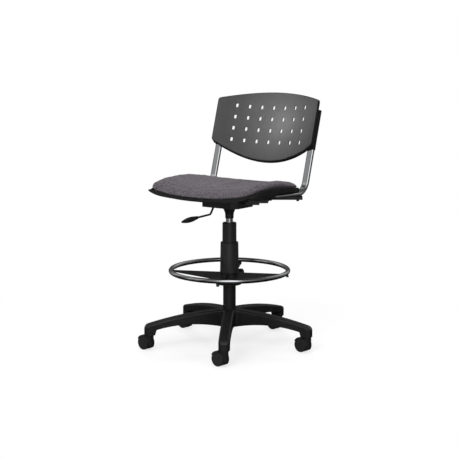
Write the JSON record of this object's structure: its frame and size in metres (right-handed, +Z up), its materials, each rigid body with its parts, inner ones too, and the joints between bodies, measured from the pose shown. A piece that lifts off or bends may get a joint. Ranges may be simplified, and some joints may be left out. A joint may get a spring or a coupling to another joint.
{
  "type": "drafting chair",
  "caption": "Height-adjustable drafting chair with a padded seat in a plastic shell, a perforated backrest on chromed tubes, a foot ring and a star base on twin-wheel casters.",
  "frame": {"origin": "on the floor, on the axis of the gas column", "axes": "+Z up, the sitter faces -Y, +X is the sitter's left"},
  "size_m": [0.6806, 0.6364, 0.9852],
  "materials": {
    "nylon_black": "black glass-filled nylon, fine moulded grain",
    "wheel_nylon": "black nylon wheel, satin",
    "steel_plain": "plain zinc-plated steel",
    "chrome": "bright chrome plate",
    "cover_plastic": "black moulded polypropylene",
    "bush_plastic": "natural acetal",
    "shell_plastic": "dark grey-black polypropylene with a fine grain",
    "seat_fabric": "grey woven upholstery with a purple cast",
    "board_wood": "birch plywood",
    "steel_black": "black powder coat",
    "bolt_zinc": "black-zinc steel fasteners"
  },
  "bodies": {
    "base": {"star_base": "nylon_black", "caster_stems": "steel_plain", "column_tube": "steel_black", "guide_bush": "bush_plastic", "bearing_races": "steel_plain", "bearing_balls": "steel_plain"},
    "spindle": {"piston_rod": "steel_plain", "rod_clip": "steel_plain", "piston": "steel_plain"},
    "seat": {"inner_cylinder": "chrome", "cylinder_gland": "bush_plastic", "cover_upper": "cover_plastic", "taper_socket": "steel_black", "mechanism_box": "steel_black", "seat_bolts": "bolt_zinc", "lever_pin": "steel_plain", "rear_arm_left": "steel_black", "rear_arm_right": "steel_black", "arm_caps": "nylon_black", "arm_bolts": "bolt_zinc", "seat_shell": "shell_plastic", "cushion_board": "board_wood", "seat_cushion": "seat_fabric", "back_tube_left": "chrome", "back_tube_right": "chrome", "tube_plugs": "nylon_black", "back_shell": "shell_plastic", "back_screws": "bolt_zinc"},
    "lever": {"lever_rod": "steel_black", "lever_handle": "nylon_black"},
    "valve": {"valve_button": "nylon_black"},
    "middle_cover": {"cover_middle": "cover_plastic"},
    "foot_ring": {"foot_ring_tube": "chrome", "foot_ring_hub": "nylon_black", "foot_ring_screws": "steel_plain", "cover_lower": "cover_plastic"},
    "ring_clamp": {"clamp_screw": "steel_plain", "clamp_knob": "nylon_black", "clamp_pad": "steel_plain"},
    "caster_1": {"caster_hood_1": "nylon_black", "caster_axle_1": "steel_plain"},
    "wheel_1a": {"caster_wheel_1a": "wheel_nylon"},
    "wheel_1b": {"caster_wheel_1b": "wheel_nylon"},
    "caster_2": {"caster_hood_2": "nylon_black", "caster_axle_2": "steel_plain"},
    "wheel_2a": {"caster_wheel_2a": "wheel_nylon"},
    "wheel_2b": {"caster_wheel_2b": "wheel_nylon"},
    "caster_3": {"caster_hood_3": "nylon_black", "caster_axle_3": "steel_plain"},
    "wheel_3a": {"caster_wheel_3a": "wheel_nylon"},
    "wheel_3b": {"caster_wheel_3b": "wheel_nylon"},
    "caster_4": {"caster_hood_4": "nylon_black", "caster_axle_4": "steel_plain"},
    "wheel_4a": {"caster_wheel_4a": "wheel_nylon"},
    "wheel_4b": {"caster_wheel_4b": "wheel_nylon"},
    "caster_5": {"caster_hood_5": "nylon_black", "caster_axle_5": "steel_plain"},
    "wheel_5a": {"caster_wheel_5a": "wheel_nylon"},
    "wheel_5b": {"caster_wheel_5b": "wheel_nylon"}
  },
  "joints": [
    {"name": "seat_swivel", "type": "hinge", "parent": "base", "child": "spindle", "pos_m": [0, 0, 0.3], "axis": [0, 0, 1], "continuous": true},
    {"name": "seat_height", "type": "slide", "parent": "spindle", "child": "seat", "axis": [0, 0, 1], "range_m": [0, 0.19]},
    {"name": "lever_lift", "type": "hinge", "parent": "seat", "child": "lever", "pos_m": [-0.06, 0, 0.566], "axis": [0, 1, 0], "range_deg": [0, 4], "stiffness_Nm_per_rad": 4, "springref_deg": -2.86},
    {"name": "valve_press", "type": "slide", "parent": "seat", "child": "valve", "axis": [0, 0, -1], "range_m": [0, 0.0045], "stiffness_N_per_m": 400, "springref_m": -0.002},
    {"name": "middle_cover_slide", "type": "slide", "parent": "base", "child": "middle_cover", "axis": [0, 0, 1], "range_m": [0, 0.095]},
    {"name": "foot_ring_height", "type": "slide", "parent": "base", "child": "foot_ring", "axis": [0, 0, 1], "range_m": [-0.08, 0]},
    {"name": "ring_clamp_turn", "type": "hinge", "parent": "foot_ring", "child": "ring_clamp", "pos_m": [0.01532, 0.04231, 0.287], "axis": [0.3404, 0.9403, 0], "range_deg": [0, 540]},
    {"name": "caster_1_swivel", "type": "hinge", "parent": "base", "child": "caster_1", "pos_m": [0.01904, 0.32044, 0.055], "axis": [0, 0, 1], "continuous": true},
    {"name": "wheel_1a_roll", "type": "hinge", "parent": "caster_1", "child": "wheel_1a", "pos_m": [-0.0023, 0.32305, 0.0275], "axis": [0.1219, 0.9925, 0], "continuous": true},
    {"name": "wheel_1b_roll", "type": "hinge", "parent": "caster_1", "child": "wheel_1b", "pos_m": [-0.0023, 0.32305, 0.0275], "axis": [0.1219, 0.9925, 0], "continuous": true},
    {"name": "caster_2_swivel", "type": "hinge", "parent": "base", "child": "caster_2", "pos_m": [-0.29887, 0.11713, 0.055], "axis": [0, 0, 1], "continuous": true},
    {"name": "wheel_2a_roll", "type": "hinge", "parent": "caster_2", "child": "wheel_2a", "pos_m": [-0.32021, 0.11975, 0.0275], "axis": [0.1219, 0.9925, 0], "continuous": true},
    {"name": "wheel_2b_roll", "type": "hinge", "parent": "caster_2", "child": "wheel_2b", "pos_m": [-0.32021, 0.11975, 0.0275], "axis": [0.1219, 0.9925, 0], "continuous": true},
    {"name": "caster_3_swivel", "type": "hinge", "parent": "base", "child": "caster_3", "pos_m": [-0.20375, -0.24805, 0.055], "axis": [0, 0, 1], "continuous": true},
    {"name": "wheel_3a_roll", "type": "hinge", "parent": "caster_3", "child": "wheel_3a", "pos_m": [-0.22509, -0.24543, 0.0275], "axis": [0.1219, 0.9925, 0], "continuous": true},
    {"name": "wheel_3b_roll", "type": "hinge", "parent": "caster_3", "child": "wheel_3b", "pos_m": [-0.22509, -0.24543, 0.0275], "axis": [0.1219, 0.9925, 0], "continuous": true},
    {"name": "caster_4_swivel", "type": "hinge", "parent": "base", "child": "caster_4", "pos_m": [0.17294, -0.27043, 0.055], "axis": [0, 0, 1], "continuous": true},
    {"name": "wheel_4a_roll", "type": "hinge", "parent": "caster_4", "child": "wheel_4a", "pos_m": [0.15161, -0.26781, 0.0275], "axis": [0.1219, 0.9925, 0], "continuous": true},
    {"name": "wheel_4b_roll", "type": "hinge", "parent": "caster_4", "child": "wheel_4b", "pos_m": [0.15161, -0.26781, 0.0275], "axis": [0.1219, 0.9925, 0], "continuous": true},
    {"name": "caster_5_swivel", "type": "hinge", "parent": "base", "child": "caster_5", "pos_m": [0.31063, 0.08091, 0.055], "axis": [0, 0, 1], "continuous": true},
    {"name": "wheel_5a_roll", "type": "hinge", "parent": "caster_5", "child": "wheel_5a", "pos_m": [0.2893, 0.08353, 0.0275], "axis": [0.1219, 0.9925, 0], "continuous": true},
    {"name": "wheel_5b_roll", "type": "hinge", "parent": "caster_5", "child": "wheel_5b", "pos_m": [0.2893, 0.08353, 0.0275], "axis": [0.1219, 0.9925, 0], "continuous": true}
  ],
  "couplings": [
    {"joint": "valve_press", "follows": "lever_lift", "m_per_rad": 0.06},
    {"joint": "middle_cover_slide", "follows": "seat_height", "ratio": 0.5}
  ]
}
